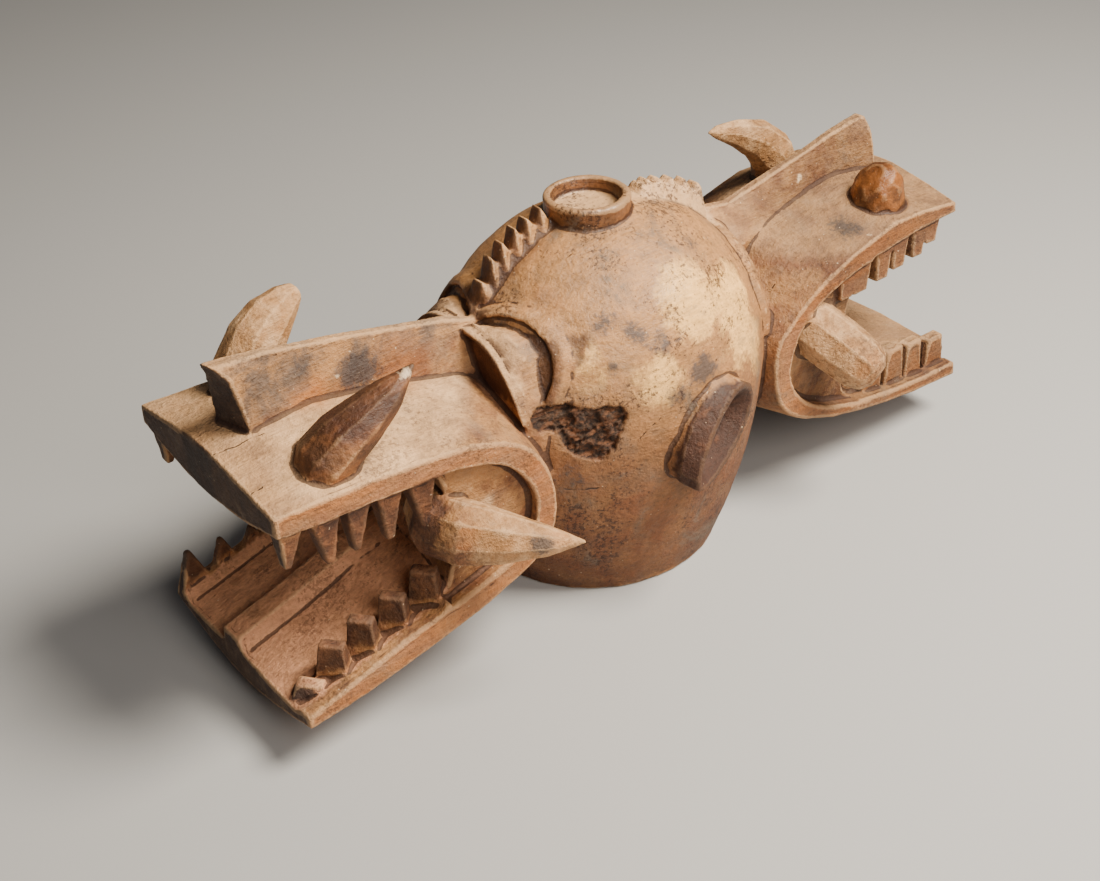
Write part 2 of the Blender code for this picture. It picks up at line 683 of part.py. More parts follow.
def main():
    mask = helmet_body("helmet_mask", 0.0, helmet_sides, (0.0, 0.15, 0.32, 0.52, 0.75),
                       (0, 14, 28, 42, 55, 66, 76, 84, 89), mask_collection)
    mask.data.materials.append(make_wood())
    mask.data.shade_smooth()
    mask.data.set_sharp_from_angle(angle=math.radians(35))
    build_head(toothed_head)
    build_head(plain_head)
    build_helmet_details()
    for label, operation, collection in (
            ("heads", "UNION", block_collection), ("mouths", "DIFFERENCE", mouth_collection),
            ("details", "UNION", detail_collection), ("hollows", "DIFFERENCE", hollow_collection)):
        cut = mask.modifiers.new(label, "BOOLEAN")
        cut.operation = operation
        cut.solver = "EXACT"
        cut.operand_type = "COLLECTION"
        cut.collection = collection


clear_scene()
mask_collection = new_collection("firespitter_helmet_mask")
block_collection = new_collection("head_blocks")
mouth_collection = new_collection("mouth_cuts")
detail_collection = new_collection("carved_details")
hollow_collection = new_collection("hollows")
main()
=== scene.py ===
import math

import bmesh
import bpy
import numpy as np
from mathutils import Matrix, Vector
from mathutils.bvhtree import BVHTree


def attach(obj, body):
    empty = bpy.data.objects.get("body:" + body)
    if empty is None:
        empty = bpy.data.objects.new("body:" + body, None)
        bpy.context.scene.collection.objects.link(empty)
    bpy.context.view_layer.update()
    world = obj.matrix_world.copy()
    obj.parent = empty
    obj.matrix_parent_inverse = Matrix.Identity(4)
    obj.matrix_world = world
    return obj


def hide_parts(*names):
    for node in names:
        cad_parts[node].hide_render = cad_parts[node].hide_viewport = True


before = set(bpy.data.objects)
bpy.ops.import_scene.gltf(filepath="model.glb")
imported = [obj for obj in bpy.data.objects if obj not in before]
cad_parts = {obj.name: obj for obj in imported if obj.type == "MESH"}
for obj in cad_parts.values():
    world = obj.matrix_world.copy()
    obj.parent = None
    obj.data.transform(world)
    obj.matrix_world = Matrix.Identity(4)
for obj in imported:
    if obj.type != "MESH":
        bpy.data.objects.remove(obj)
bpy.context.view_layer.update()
scene = bpy.context.scene

# The heads: reach of the lips' back along X, length and height that shares are taken of.
toothedHead = {"direction": -1, "back": 0.1257, "length": 0.2353, "height": 0.2240}
plainHead = {"direction": 1, "back": 0.1148, "length": 0.2222, "height": 0.2300}
heads = (toothedHead, plainHead)


# Maths on node sockets

class Value:
    # A number or vector socket that arithmetic works on.
    def __init__(self, sheet, socket):
        self.sheet = sheet
        self.socket = socket

    def math(self, operation, *others, clamp=False):
        return self.sheet.node("ShaderNodeMath", {"operation": operation, "use_clamp": clamp},
                               dict(enumerate((self, *others))))

    def __add__(self, other):
        return self.math("ADD", other)

    def __sub__(self, other):
        return self.math("SUBTRACT", other)

    def __rsub__(self, other):
        return self.sheet.number(other).math("SUBTRACT", self)

    def __mul__(self, other):
        return self.math("MULTIPLY", other)

    def __truediv__(self, other):
        return self.math("DIVIDE", other)

    __radd__ = __add__
    __rmul__ = __mul__

    def most(self, other):
        return self.math("MAXIMUM", other)

    def least(self, other):
        return self.math("MINIMUM", other)

    def clamped(self):
        return self.math("ADD", 0.0, clamp=True)

    def rise(self, low, high):
        # 0 below low, 1 above high and smooth between them.
        return self.sheet.node("ShaderNodeMapRange", {"interpolation_type": "SMOOTHSTEP"},
                               {"Value": self, "From Min": low, "From Max": high})

    def vector(self, operation, *others, output=0, scale=None):
        inputs = dict(enumerate((self, *others)))
        if scale is not None:
            inputs["Scale"] = scale
        return self.sheet.node("ShaderNodeVectorMath", {"operation": operation}, inputs, output)


class Sheet:
    # A node tree, with one method that makes every node.
    def __init__(self, tree):
        self.tree = tree

    def node(self, kind, settings=None, inputs=None, output=0):
        made = self.tree.nodes.new(kind)
        for key, value in (settings or {}).items():
            setattr(made, key, value)
        for key, value in (inputs or {}).items():
            if isinstance(value, Value):
                self.tree.links.new(value.socket, made.inputs[key])
            else:
                made.inputs[key].default_value = value
        if output is None:
            return made
        return Value(self, made.outputs[output])

    def number(self, value):
        return self.node("ShaderNodeMath", {"operation": "ADD"}, {0: value, 1: 0.0})

    def mix(self, factor, first, second, blend="MIX"):
        return self.node("ShaderNodeMix", {"data_type": "RGBA", "blend_type": blend},
                         {0: factor, 6: first, 7: second}, 2)

    def noise(self, where, scale, detail=3.0, roughness=0.55, distortion=0.0):
        return self.node("ShaderNodeTexNoise", None,
                         {"Vector": where, "Scale": scale, "Detail": detail,
                          "Roughness": roughness, "Distortion": distortion})

    def stretched(self, where, scale):
        return where.vector("MULTIPLY", scale)


def step(value, low, high):
    share = np.clip((value - low) / (high - low), 0.0, 1.0)
    return share * share * (3 - 2 * share)


def readVectors(source, field):
    values = np.empty(len(source) * 3, np.float32)
    source.foreach_get(field, values)
    return values.reshape(-1, 3).astype(np.float64)


def writeAttribute(mesh, name, values):
    attribute = mesh.attributes.get(name) or mesh.attributes.new(name, "FLOAT", "POINT")
    attribute.data.foreach_set("value", np.ascontiguousarray(values, np.float32))


def headPlace(head, share, y, rise):
    return np.array((head["direction"] * (head["back"] + share * head["length"]), y,
                     rise * head["height"]))


def nearChain(points, chain):
    # 1 inside a chain of rounded segments, falling off over their edge.
    found = np.zeros(len(points))
    for (start, startRadius), (end, endRadius) in zip(chain, chain[1:]):
        line = end - start
        share = np.clip((points - start) @ line / (line @ line), 0.0, 1.0)
        away = np.linalg.norm(points - start - share[:, None] * line, axis=1)
        radius = startRadius + share * (endRadius - startRadius)
        found = np.maximum(found, 1 - step(away / radius, 0.85, 1.05))
    return found


# Spines of the horns and tusks, as places of a head with a radius.
limbs = {
    "darkHorn": (toothedHead, [(0.76, -0.064, 1.03, 0.027), (0.65, -0.070, 1.11, 0.024),
                               (0.436, -0.076, 1.259, 0.012)]),
    "paleHorn": (toothedHead, [(0.73, 0.063, 1.06, 0.034), (0.60, 0.071, 1.222, 0.030),
                               (0.48, 0.076, 1.275, 0.018)]),
    "nearTusk": (toothedHead, [(0.38, -0.070, 0.650, 0.030), (0.29, -0.122, 0.625, 0.028),
                               (0.08, -0.156, 0.584, 0.012)]),
    "otherTusk": (toothedHead, [(0.38, 0.070, 0.650, 0.030), (0.29, 0.122, 0.625, 0.028),
                                (0.08, 0.156, 0.584, 0.012)]),
    "amberHorn": (plainHead, [(0.71, -0.060, 1.06, 0.029), (0.67, -0.061, 1.16, 0.024)]),
    "curledHorn": (plainHead, [(0.62, 0.050, 1.10, 0.027), (0.51, 0.050, 1.215, 0.024),
                               (0.253, 0.050, 1.290, 0.014)]),
    "farTusk": (plainHead, [(0.24, -0.080, 0.706, 0.030), (0.28, -0.105, 0.648, 0.030),
                            (0.343, -0.143, 0.555, 0.028)]),
    "farOtherTusk": (plainHead, [(0.24, 0.080, 0.706, 0.030), (0.28, 0.105, 0.648, 0.030),
                                 (0.343, 0.143, 0.555, 0.028)]),
}

# The plate that the horns stand on: crown and fall as shares of its head's height, its half
# width and where a horn's own finish begins above it in metres.
plate = {"halfWidth": 0.0958, "crown": 1.085, "fall": 0.095, "bend": 1.3,
         "toHorn": (0.0005, 0.004)}


def limbMask(points, name):
    head, spine = limbs[name]
    found = nearChain(points, [(headPlace(head, *place[:3]), place[3]) for place in spine])
    if name.endswith("Horn"):
        # A horn stops at the plate it stands on, which falls toward its flanks.
        toFlank = np.clip(np.abs(points[:, 1]) / plate["halfWidth"], 0.0, 1.0)
        top = head["height"] * (plate["crown"] - plate["fall"] * toFlank ** plate["bend"])
        found = found * step(points[:, 2] - top, *plate["toHorn"])
    return found


# Marks on the wood: place, radius and strength.
marks = {
    "stain": [
        ((-0.063, -0.078, 0.253), 0.013, 0.5), ((-0.042, -0.096, 0.240), 0.012, 0.55),
        ((-0.027, -0.105, 0.2315), 0.012, 0.5), ((-0.068, -0.097, 0.222), 0.007, 0.6),
        ((0.045, -0.062, 0.277), 0.010, 0.5), ((0.007, -0.120, 0.1975), 0.014, 0.75),
        ((-0.025, -0.120, 0.190), 0.012, 0.6), ((-0.279, -0.007, 0.270), 0.011, 0.45),
        ((-0.235, -0.010, 0.249), 0.016, 0.95), ((-0.2205, -0.010, 0.245), 0.010, 0.6),
        ((0.2205, -0.069, 0.231), 0.018, 0.55), ((-0.1805, -0.1455, 0.140), 0.010, 0.7),
        ((-0.2175, -0.047, 0.225), 0.010, 0.25), ((-0.280, -0.085, 0.223), 0.012, 0.3),
        ((-0.104, -0.088, 0.131), 0.020, 0.35)],
    "gold": [
        ((0.013, -0.096, 0.249), 0.034, 0.9), ((0.063, -0.095, 0.230), 0.034, 1.0),
        ((-0.034, -0.114, 0.205), 0.026, 0.7), ((0.060, -0.100, 0.190), 0.040, 0.6),
        ((-0.080, -0.085, 0.225), 0.025, 0.5)],
    "amber": [
        ((-0.273, -0.011, 0.246), 0.012, 0.9), ((-0.286, -0.012, 0.2465), 0.010, 0.8),
        ((-0.200, -0.011, 0.242), 0.022, 0.8), ((-0.252, -0.010, 0.240), 0.010, 0.5),
        ((0.263, -0.072, 0.267), 0.024, 0.9), ((0.176, -0.147, 0.140), 0.018, 0.7),
        ((-0.165, -0.150, 0.138), 0.010, 0.7)],
    "chip": [
        ((-0.238, -0.078, 0.280), 0.0065, 1.0), ((-0.252, -0.010, 0.252), 0.0045, 0.8),
        ((0.226, -0.009, 0.2555), 0.0050, 1.0), ((0.230, -0.0885, 0.228), 0.0022, 1.0),
        ((-0.262, -0.080, 0.262), 0.0035, 0.6)],
}


def spots(points, places):
    found = np.zeros(len(points))
    for centre, radius, strength in places:
        away = np.linalg.norm(points - np.array(centre), axis=1)
        found = np.maximum(found, strength * (1 - step(away / radius, 0.1, 1.7)))
    return found


def headShares(points):
    # Share along the head that a point belongs to, and its rise.
    near = points[:, 0] < 0
    shares = [(head["direction"] * points[:, 0] - head["back"]) / head["length"]
              for head in heads]
    rises = [points[:, 2] / head["height"] for head in heads]
    return np.where(near, shares[0], shares[1]), np.where(near, rises[0], rises[1]), near


# The carved form

carving = {
    "node": "helmet_mask", "name": "mask_carving", "slot": "wood",
    "voxel": 0.0013, "quickVoxel": 0.0024, "triangles": 192000, "quickTriangles": 80000,
    "hollowReach": 0.045, "hollowRays": 16,
}


def copyOfNode(name):
    # The node's own mesh stays as it is; its copy has its doubled corners merged.
    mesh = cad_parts[name].data.copy()
    work = bmesh.new()
    work.from_mesh(mesh)
    bmesh.ops.remove_doubles(work, verts=work.verts, dist=1e-6)
    work.to_mesh(mesh)
    work.free()
    mesh.materials.clear()
    piece = bpy.data.objects.new(carving["name"], mesh)
    scene.collection.objects.link(piece)
    return piece


def applied(piece):
    # The piece with its modifiers turned into its mesh.
    graph = bpy.context.evaluated_depsgraph_get()
    mesh = bpy.data.meshes.new_from_object(piece.evaluated_get(graph))
    piece.modifiers.clear()
    piece.data = mesh
    return mesh


def remeshed(piece, voxel):
    remesh = piece.modifiers.new("remesh", "REMESH")
    remesh.mode = "VOXEL"
    remesh.voxel_size = voxel
    remesh.use_smooth_shade = True
    return applied(piece)


def newInput(tree, name, kind, value):
    socket = tree.interface.new_socket(name=name, in_out="INPUT", socket_type=kind)
    socket.default_value = value
    return socket.identifier


carvingInputs = {
    "wear": ("NodeSocketInt", 3), "skin": ("NodeSocketInt", 26),
    "skinLimit": ("NodeSocketFloat", 0.0007), "unevenness": ("NodeSocketFloat", 0.0016),
    "unevenScale": ("NodeSocketFloat", 21.0), "ripple": ("NodeSocketFloat", 0.0007),
    "rippleScale": ("NodeSocketFloat", 75.0), "cut": ("NodeSocketFloat", 0.0011),
    "cutScale": ("NodeSocketFloat", 62.0), "cutStretch": ("NodeSocketFloat", 0.55),
    "rotDepth": ("NodeSocketFloat", 0.0044), "rotScale": ("NodeSocketFloat", 120.0),
    "raggedScale": ("NodeSocketFloat", 95.0), "seed": ("NodeSocketFloat", 4.7),
}


def buildCarvingTree():
    # Wears the edges, then gives the surface its hand-cut unevenness, scallops and rot.
    tree = bpy.data.node_groups.new("carving", "GeometryNodeTree")
    sheet = Sheet(tree)
    tree.interface.new_socket(name="Geometry", in_out="INPUT", socket_type="NodeSocketGeometry")
    names = {name: newInput(tree, name, kind, value)
             for name, (kind, value) in carvingInputs.items()}
    tree.interface.new_socket(name="wood", in_out="INPUT", socket_type="NodeSocketMaterial")
    tree.interface.new_socket(name="Geometry", in_out="OUTPUT", socket_type="NodeSocketGeometry")
    entry = sheet.node("NodeGroupInput", output=None)
    given = {socket.name: Value(sheet, socket) for socket in entry.outputs if socket.name}

    def named(name):
        return sheet.node("GeometryNodeInputNamedAttribute", {"data_type": "FLOAT"},
                          {"Name": name}, "Attribute")

    def blurred(value, rounds):
        return sheet.node("GeometryNodeBlurAttribute", {"data_type": "FLOAT_VECTOR"},
                          {"Value": value, "Iterations": rounds})

    place = sheet.node("GeometryNodeInputPosition")
    worn = blurred(place, given["wear"])
    skin = blurred(place, given["skin"])
    apart = skin.vector("DISTANCE", worn, output="Value")
    keep = apart.rise(given["skinLimit"] * 0.5, given["skinLimit"])
    rounded = sheet.node("ShaderNodeMix", {"data_type": "VECTOR"},
                         {"Factor": keep, 4: skin, 5: worn}, 1)
    geometry = sheet.node("GeometryNodeSetPosition", None,
                          {"Geometry": given["Geometry"], "Position": rounded})

    normal = sheet.node("GeometryNodeInputNormal")
    moved = sheet.node("GeometryNodeInputPosition").vector("ADD", sheet.node(
        "ShaderNodeCombineXYZ", None, {"X": given["seed"], "Y": given["seed"]}))
    broad = sheet.noise(moved, given["unevenScale"], 2.0) - 0.5
    ripple = sheet.noise(moved, given["rippleScale"], 2.0) - 0.5
    long = moved.vector("MULTIPLY", sheet.node(
        "ShaderNodeCombineXYZ", None, {"X": given["cutStretch"], "Y": 1.0, "Z": 1.0}))
    bent = sheet.noise(moved, 30.0, 1.0) * 0.012
    cell = sheet.node("ShaderNodeTexVoronoi", {"feature": "F1"},
                      {"Vector": long.vector("ADD", bent), "Scale": given["cutScale"]})
    scallop = (cell * cell).least(0.6) - 0.25
    grain = moved.vector("MULTIPLY", (0.35, 1.0, 1.0))
    pits = sheet.noise(grain, given["rotScale"], 3.0, 0.65).rise(0.38, 0.62)
    ragged = sheet.noise(moved, given["raggedScale"], 5.0, 0.72) - 0.5
    rot = (named("decay") + ragged * 1.9 * named("decay").least(0.6)).rise(0.42, 0.66)
    geometry = sheet.node("GeometryNodeStoreNamedAttribute",
                          {"data_type": "FLOAT", "domain": "POINT"},
                          {"Geometry": geometry, "Name": "rot", "Value": rot})
    depth = (broad * given["unevenness"] * named("uneven")
             + ripple * given["ripple"]
             + scallop * given["cut"] * named("chisel")
             - rot * pits * given["rotDepth"] - rot * given["rotDepth"] * 0.2)
    geometry = sheet.node("GeometryNodeSetPosition", None,
                          {"Geometry": geometry,
                           "Offset": normal.vector("SCALE", scale=depth)})

    final = sheet.node("GeometryNodeInputPosition")
    for name, rounds in (("edge", 5), ("form", 60)):
        softened = blurred(final, rounds)
        bulge = final.vector("SUBTRACT", softened).vector(
            "DOT_PRODUCT", sheet.node("GeometryNodeInputNormal"), output="Value")
        geometry = sheet.node("GeometryNodeStoreNamedAttribute",
                              {"data_type": "FLOAT", "domain": "POINT"},
                              {"Geometry": geometry, "Name": name, "Value": bulge * 1000.0})
    geometry = sheet.node("GeometryNodeRealizeInstances", None, {"Geometry": geometry})
    geometry = sheet.node("GeometryNodeSetMaterial", None,
                          {"Geometry": geometry, "Material": given["wood"]})
    sheet.node("NodeGroupOutput", None, {"Geometry": geometry}, None)
    return tree, names


# The rotten patch beside the toothed head, as places with radii.
rotPatch = [((-0.122, -0.078, 0.190), 0.011), ((-0.108, -0.087, 0.187), 0.013),
            ((-0.094, -0.095, 0.180), 0.014), ((-0.0735, -0.106, 0.184), 0.011),
            ((-0.086, -0.102, 0.160), 0.013), ((-0.100, -0.094, 0.166), 0.012),
            ((-0.083, -0.102, 0.173), 0.012)]

# How strong the tools' marks are on each part, as shares of the deepest.
toolMarks = {
    "heads": 0.30, "undersides": 0.25, "helmet": 0.16, "limbs": 0.55, "inside": 0.9,
    "evenLimbs": 0.55, "mostDecay": 1.2, "shellEnd": (0.108, 0.128),
}


def writeCutMasks(mesh):
    # Where the tools' marks, the unevenness and the rot lie.
    points = readVectors(mesh.vertices, "co")
    normals = readVectors(mesh.vertices, "normal")
    shell = 1 - step(np.abs(points[:, 0]), *toolMarks["shellEnd"])
    inside = insideMask(points, normals)
    onLimb = np.zeros(len(points))
    for name in limbs:
        onLimb = np.maximum(onLimb, limbMask(points, name))
    chisel = toolMarks["heads"] + toolMarks["undersides"] * step(-normals[:, 2], 0.0, 0.6)
    chisel = chisel * (1 - shell) + shell * toolMarks["helmet"]
    chisel = np.maximum(chisel, onLimb * toolMarks["limbs"])
    chisel = np.maximum(chisel, inside * toolMarks["inside"])
    rotten = np.zeros(len(points))
    for centre, radius in rotPatch:
        away = np.linalg.norm(points - np.array(centre), axis=1)
        rotten += np.exp(-(away / radius) ** 2)
    writeAttribute(mesh, "chisel", chisel)
    writeAttribute(mesh, "uneven", 1 - toolMarks["evenLimbs"] * onLimb)
    writeAttribute(mesh, "decay", np.minimum(rotten, toolMarks["mostDecay"]))


helmetHollow = {"girth": 0.12, "rise": 0.165, "halfLength": 0.140, "halfWidth": 0.116,
                "top": 0.2895}


def insideMask(points, normals):
    # The helmet's hollow, whose skin looks toward the axis or down.
    level = np.clip((points[:, 2] - helmetHollow["girth"]) / helmetHollow["rise"], 0.0, 1.0)
    taper = np.sqrt(1 - level ** 2)
    reach = np.hypot(points[:, 0] / helmetHollow["halfLength"],
                     points[:, 1] / helmetHollow["halfWidth"])
    toAxis = -(normals[:, 0] * points[:, 0] + normals[:, 1] * points[:, 1])
    toAxis = toAxis / (np.hypot(points[:, 0], points[:, 1]) + 1e-6)
    facing = np.maximum(toAxis, -normals[:, 2])
    below = points[:, 2] < helmetHollow["top"]
    return (reach < 1.02 * taper + 0.02) * step(facing, 0.1, 0.4) * below


def addHollow(mesh, points, normals):
    # How closed in each point is, from rays to what stands near it.
    tree = BVHTree.FromPolygons([tuple(p) for p in points],
                                [tuple(f.vertices) for f in mesh.polygons])
    reach = carving["hollowReach"]
    count = carving["hollowRays"]
    spread = []
    for i in range(count):
        height = 1 - (i + 0.5) / count
        turn = i * math.pi * (3 - math.sqrt(5))
        flat = math.sqrt(1 - height * height)
        spread.append((flat * math.cos(turn), flat * math.sin(turn), height))
    hollow = np.zeros(len(points))
    for i in range(len(points)):
        normal = Vector(normals[i])
        side = normal.orthogonal().normalized()
        other = normal.cross(side)
        start = Vector(points[i]) + normal * 0.0008
        closed = 0.0
        for across, along, up in spread:
            hit = tree.ray_cast(start, side * across + other * along + normal * up, reach)
            if hit[0] is not None:
                closed += up * (1 - hit[3] / reach)
        hollow[i] = closed / sum(ray[2] for ray in spread)
    return hollow


def smoothed(mesh, values, rounds):
    # Values averaged over neighbouring points.
    edges = np.empty(len(mesh.edges) * 2, np.int64)
    mesh.edges.foreach_get("vertices", edges)
    edges = edges.reshape(-1, 2)
    number = len(mesh.vertices)
    joined = np.bincount(edges.ravel(), minlength=number) + 1
    for _ in range(rounds):
        total = np.bincount(edges[:, 0], values[edges[:, 1]], number)
        total += np.bincount(edges[:, 1], values[edges[:, 0]], number)
        values = (total + values) / joined
    return values


# Where the parts with a finish of their own lie: across in metres, along a head and in
# height as shares of it.
headZones = {
    "start": (0.112, 0.130), "ridgeRise": (1.075, 1.12), "ridgeAcross": 0.040,
    "snoutRise": (0.93, 0.97), "snoutFade": (0.78, 0.95), "farSnout": 0.40,
    "mouthRise": 0.92, "mouthHollow": (0.25, 0.6), "jawFloorRise": 0.5, "jawFloorAcross": 0.089,
    "frontShare": 0.93, "noseShare": 0.80, "noseRise": 1.03, "lipsAcross": 0.088,
    "floorRise": 0.479, "floorFall": 0.265, "toothFoot": (0.020, 0.035), "toothRise": 0.895,
    "toothAcross": (0.066, 0.1), "toothShare": (0.42, 0.97),
    "socketRise": (0.90, 1.09), "socketAcross": (0.006, 0.082), "socketReach": 0.156,
    "bedRise": (0.30, 0.50), "bedAcross": 0.083,
}
earZone = {"middle": (0.0125, 0.144), "lean": 37.0, "scoop": (0.043, 0.021),
           "scoopFrom": 0.1185, "rimFrom": 0.1285, "halfLength": 0.055, "top": 0.056}
cupZone = {"middle": -0.0085, "foot": 0.2985, "radius": 0.037, "bowl": 0.0285}
combZone = {"domeFoot": 0.1575, "domeRise": 0.146, "domeReach": 0.150, "start": (-0.003, 0.001),
            "nearMiddle": 0.008, "across": 0.02, "farReach": 0.12}
paleLimbs = ("paleHorn", "nearTusk", "otherTusk", "farTusk", "farOtherTusk")


def between(values, ends):
    return (values > ends[0]) * (values < ends[1])


def limbMasks(points):
    masks = {name: limbMask(points, name) for name in ("darkHorn", "amberHorn", "curledHorn")}
    masks["paleLimb"] = np.maximum.reduce([limbMask(points, name) for name in paleLimbs])
    return masks


def headMasks(points, normals, hollow, onLimbs):
    zone = headZones
    share, rise, near = headShares(points)
    across = np.abs(points[:, 1])
    onHead = step(np.abs(points[:, 0]), *zone["start"])
    upward = step(normals[:, 2], 0.25, 0.85)
    forward = step(-normals[:, 0], 0.15, 0.6)
    bare = 1 - np.maximum.reduce(list(onLimbs.values()))
    noPale = 1 - onLimbs["paleLimb"]
    ridge = near * onHead * step(rise, *zone["ridgeRise"]) * (across < zone["ridgeAcross"]) * bare
    snout = onHead * step(rise, *zone["snoutRise"]) * upward * bare * (1 - 0.6 * ridge)
    snout = snout * np.where(near, 1.0 - 0.4 * step(share, *zone["snoutFade"]), zone["farSnout"])
    mouth = onHead * step(hollow, *zone["mouthHollow"]) * (rise < zone["mouthRise"]) * noPale * 0.5
    jawFloor = near * onHead * step(normals[:, 2], 0.2, 0.6) * (rise < zone["jawFloorRise"])
    jawFloor = jawFloor * (across < zone["jawFloorAcross"]) * noPale
    # Painted shade: the near head's faces that look forward are darkened as if in shadow.
    frontShade = near * step(-normals[:, 0], 0.50, 0.80) * bare
    nose = (share > zone["noseShare"]) * (rise > zone["noseRise"])
    frontShade = frontShade * np.maximum(share > zone["frontShare"], nose)
    lips = onHead * step(np.abs(normals[:, 1]), 0.6, 0.9) * (across > zone["lipsAcross"])
    overFloor = rise - zone["floorRise"] + zone["floorFall"] * share
    teeth = near * step(overFloor, *zone["toothFoot"]) * (rise < zone["toothRise"])
    teeth = teeth * between(across, zone["toothAcross"]) * between(share, zone["toothShare"])
    teeth = teeth * (1 - step(onLimbs["paleLimb"], 0.1, 0.5))
    socket = near * forward * between(rise, zone["socketRise"])
    socket = socket * between(across, zone["socketAcross"])
    socket = socket * (np.abs(points[:, 0]) < zone["socketReach"])
    bed = (1 - near) * between(rise, zone["bedRise"]) * upward * (across < zone["bedAcross"])
    return {"onHead": onHead, "ridge": ridge, "snout": snout,
            "mouth": np.maximum(mouth, jawFloor), "frontShade": frontShade, "lips": lips, "teeth": teeth,
            "shaded": socket, "dusty": bed * onHead * 0.4}


def helmetMasks(points, normals):
    across = np.abs(points[:, 1])
    aside = points[:, 0] - earZone["middle"][0]
    above = points[:, 2] - earZone["middle"][1]
    lean = math.radians(earZone["lean"])
    alongEar = (aside * math.cos(lean) + above * math.sin(lean)) / earZone["scoop"][0]
    acrossEar = (aside * math.sin(lean) - above * math.cos(lean)) / earZone["scoop"][1]
    scoop = (alongEar ** 2 + acrossEar ** 2 < 1) * (across > earZone["scoopFrom"])
    rim = (np.abs(aside) < earZone["halfLength"]) * (above < earZone["top"])
    rim = rim * (across > earZone["rimFrom"])
    fromCup = np.hypot(points[:, 0] - cupZone["middle"], points[:, 1])
    cup = (points[:, 2] > cupZone["foot"]) * (fromCup < cupZone["radius"])
    cupFloor = cup * (fromCup < cupZone["bowl"]) * step(normals[:, 2], 0.5, 0.8)
    toEnd = np.clip(1 - (points[:, 0] / combZone["domeReach"]) ** 2, 0, 1)
    domeTop = combZone["domeFoot"] + combZone["domeRise"] * np.sqrt(toEnd)
    near = points[:, 0] < 0
    onComb = step(points[:, 2] - domeTop, *combZone["start"]) * (1 - cup)
    fins = onComb * near * (np.abs(points[:, 1] - combZone["nearMiddle"]) < combZone["across"])
    fins = fins * step(-normals[:, 0], 0.15, 0.6)
    pale = onComb * (1 - near) * (across < combZone["across"])
    pale = pale * (np.abs(points[:, 0]) < combZone["farReach"])
    return {"inside": insideMask(points, normals), "ear": np.maximum(rim, scoop), "cup": cup,
            "cupFloor": cupFloor, "shaded": fins, "dusty": pale}


def writeFinishMasks(mesh):
    # What the finish needs to know about each point.
    points = readVectors(mesh.vertices, "co")
    normals = readVectors(mesh.vertices, "normal")
    hollow = smoothed(mesh, addHollow(mesh, points, normals), 2)
    onLimbs = limbMasks(points)
    onHeads = headMasks(points, normals, hollow, onLimbs)
    onHelmet = helmetMasks(points, normals)
    onBoth = {name: np.maximum(onHeads[name], onHelmet[name]) for name in ("shaded", "dusty")}
    drawn = {kind: spots(points, places) for kind, places in marks.items()}
    masks = {"hollow": hollow, **onLimbs, **onHeads, **onHelmet, **onBoth, **drawn}
    for name, values in masks.items():
        writeAttribute(mesh, name, values.astype(np.float64))


# The wood

tones = {
    "dust": (0.66, 0.40, 0.200, 1), "tan": (0.43, 0.205, 0.072, 1),
    "gold": (0.92, 0.51, 0.16, 1), "brown": (0.180, 0.065, 0.024, 1),
    "dark": (0.035, 0.013, 0.007, 1), "grey": (0.145, 0.102, 0.070, 1),
    "blue": (0.060, 0.046, 0.042, 1), "amber": (0.40, 0.130, 0.025, 1),
    # The very dark tone for the near head's forward faces is painted shade.
    "umber": (0.046, 0.015, 0.007, 1), "frontShade": (0.040, 0.027, 0.024, 1),
    "pale": (0.72, 0.53, 0.34, 1), "red": (0.620, 0.290, 0.150, 1),
    "lip": (0.340, 0.140, 0.058, 1), "rot": (0.020, 0.009, 0.005, 1),
}

# Coats over the bare wood: mask, cover, the noise that mixes two tones and where it does.
headCoats = (
    ("lips", 0.7, "streak", (0.35, 0.7), "lip", "amber"),
    ("mouth", 0.8, "blotch", (0.52, 0.75), "red", "brown"),
    ("ridge", 0.8, "blotch", (0.38, 0.62), "grey", "tan"),
)
partCoats = (
    ("paleLimb", 0.8, "mid", (0.35, 0.7), "tan", "dust"),
    ("curledHorn", 0.8, "mid", (0.35, 0.7), "tan", "dust"),
    ("amberHorn", 0.9, "mid", (0.42, 0.68), "umber", "amber"),
    ("darkHorn", 0.9, "streak", (0.45, 0.72), "umber", "brown"),
    ("ear", 0.95, "mid", (0.55, 0.8), "umber", "brown"),
    ("teeth", 0.88, "mid", (0.4, 0.7), "umber", "brown"),
    ("cup", 0.8, "streak", (0.35, 0.7), "umber", "brown"),
    ("shaded", 0.85, "mid", (0.5, 0.8), "umber", "brown"),
    # Painted shade over the near head's forward faces, streaked with grey.
    ("frontShade", 0.85, "streak", (0.45, 0.85), "frontShade", "grey"),
)

# Fine cracks, each from one place to another with a width.
cracks = [((-0.116, -0.082, 0.145), (-0.094, -0.095, 0.178), 0.0007),
          ((-0.113, -0.080, 0.121), (-0.084, -0.1015, 0.121), 0.0006),
          ((-0.057, -0.033, 0.286), (-0.020, -0.035, 0.296), 0.0005),
          ((-0.063, -0.113, 0.158), (-0.039, -0.119, 0.175), 0.0005),
          ((-0.359, -0.0165, 0.235), (-0.324, -0.023, 0.240), 0.0006),
          ((-0.360, -0.066, 0.229), (-0.350, -0.064, 0.229), 0.0006),
          ((0.138, -0.063, 0.199), (0.168, -0.0675, 0.216), 0.0005)]
